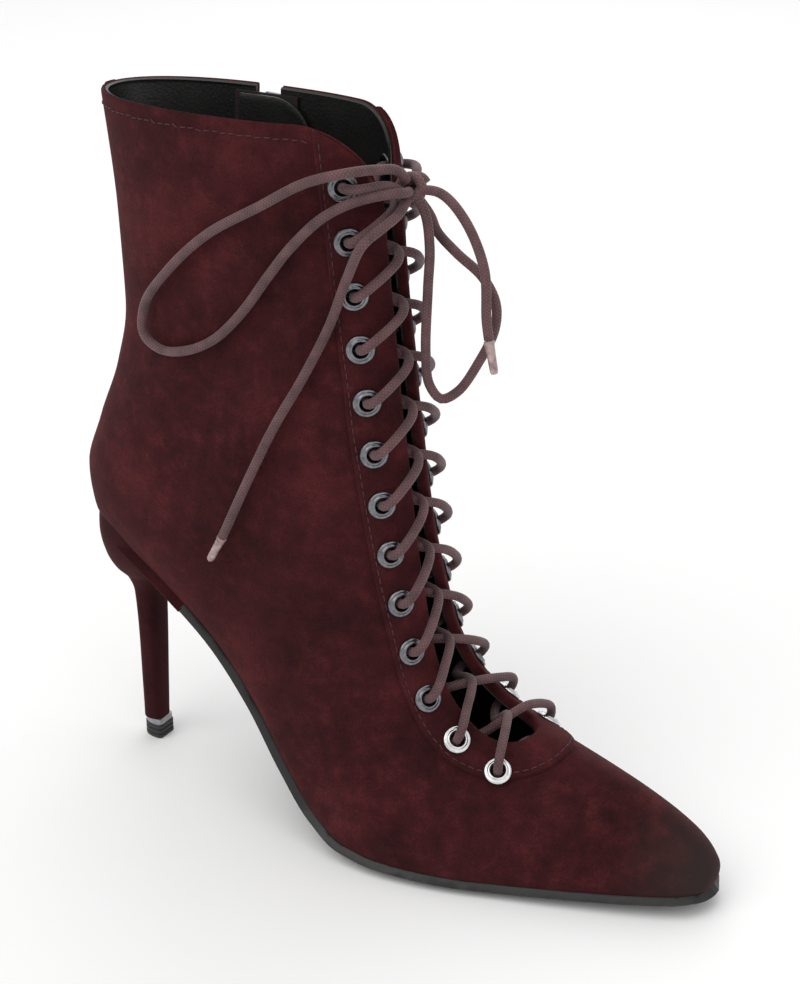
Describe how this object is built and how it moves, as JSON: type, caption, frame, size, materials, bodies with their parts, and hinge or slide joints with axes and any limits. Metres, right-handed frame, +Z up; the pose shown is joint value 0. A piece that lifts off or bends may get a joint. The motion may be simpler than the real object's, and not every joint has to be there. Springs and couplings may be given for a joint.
{
  "type": "lace up ankle boot",
  "caption": "Right suede ankle boot on a slim stiletto heel, hollow, with a pointed toe, an open laced front with eyelets and a bow, and an inside zip with a swinging pull.",
  "frame": {"origin": "middle of the heel tip's flat face on the floor", "axes": "+X from the heel towards the toe, +Y towards the wearer's left, the inner side of this right boot, +Z up"},
  "size_m": [0.2326, 0.0791, 0.236],
  "materials": {
    "suede": "burgundy suede with a soft mottled nap",
    "lining_leather": "smooth black lining leather",
    "outsole": "thin satin black sole",
    "top_piece": "hard black rubber",
    "heel_band": "grey metal band",
    "eyelet_metal": "dark nickel, lowest two brighter",
    "lace_cord": "round braided waxed cord",
    "aglet": "clear plastic over the cord's end",
    "zip_tape": "woven tape with a metal-look chain",
    "zip_metal": "bright nickel slider and pull"
  },
  "bodies": {
    "boot": {"upper": "suede", "insole": "lining_leather", "outsole": "outsole", "heel": "suede", "top_piece": "top_piece", "heel_band": "heel_band", "eyestay": "suede", "eyelet_lateral_01": "eyelet_metal", "eyelet_medial_01": "eyelet_metal", "eyelet_lateral_02": "eyelet_metal", "eyelet_medial_02": "eyelet_metal", "eyelet_lateral_03": "eyelet_metal", "eyelet_medial_03": "eyelet_metal", "eyelet_lateral_04": "eyelet_metal", "eyelet_medial_04": "eyelet_metal", "eyelet_lateral_05": "eyelet_metal", "eyelet_medial_05": "eyelet_metal", "eyelet_lateral_06": "eyelet_metal", "eyelet_medial_06": "eyelet_metal", "eyelet_lateral_07": "eyelet_metal", "eyelet_medial_07": "eyelet_metal", "eyelet_lateral_08": "eyelet_metal", "eyelet_medial_08": "eyelet_metal", "eyelet_lateral_09": "eyelet_metal", "eyelet_medial_09": "eyelet_metal", "eyelet_lateral_10": "eyelet_metal", "eyelet_medial_10": "eyelet_metal", "eyelet_lateral_11": "eyelet_metal", "eyelet_medial_11": "eyelet_metal", "eyelet_lateral_12": "eyelet_metal", "eyelet_medial_12": "eyelet_metal", "eyelet_lateral_13": "eyelet_metal", "eyelet_medial_13": "eyelet_metal", "lace_crossing_01": "lace_cord", "lace_crossing_02": "lace_cord", "lace_crossing_03": "lace_cord", "lace_crossing_04": "lace_cord", "lace_crossing_05": "lace_cord", "lace_crossing_06": "lace_cord", "lace_crossing_07": "lace_cord", "lace_crossing_08": "lace_cord", "lace_crossing_09": "lace_cord", "lace_crossing_10": "lace_cord", "lace_crossing_11": "lace_cord", "lace_crossing_12": "lace_cord", "lace_bottom_bar": "lace_cord", "lace_knot": "lace_cord", "lace_loop_lateral": "lace_cord", "lace_loop_medial": "lace_cord", "lace_end_lateral": "lace_cord", "lace_end_medial": "lace_cord", "aglet_lateral": "aglet", "aglet_medial": "aglet", "zip": "zip_tape", "zip_guard": "lining_leather", "zip_slider": "zip_metal"},
    "pull": {"zip_pull": "zip_metal"}
  },
  "joints": [
    {"name": "pull_hinge", "type": "hinge", "parent": "boot", "child": "pull", "pos_m": [0.04271, 0.02525, 0.22695], "axis": [0.9984, -0.0336, -0.0456], "range_deg": [0, 160]}
  ]
}
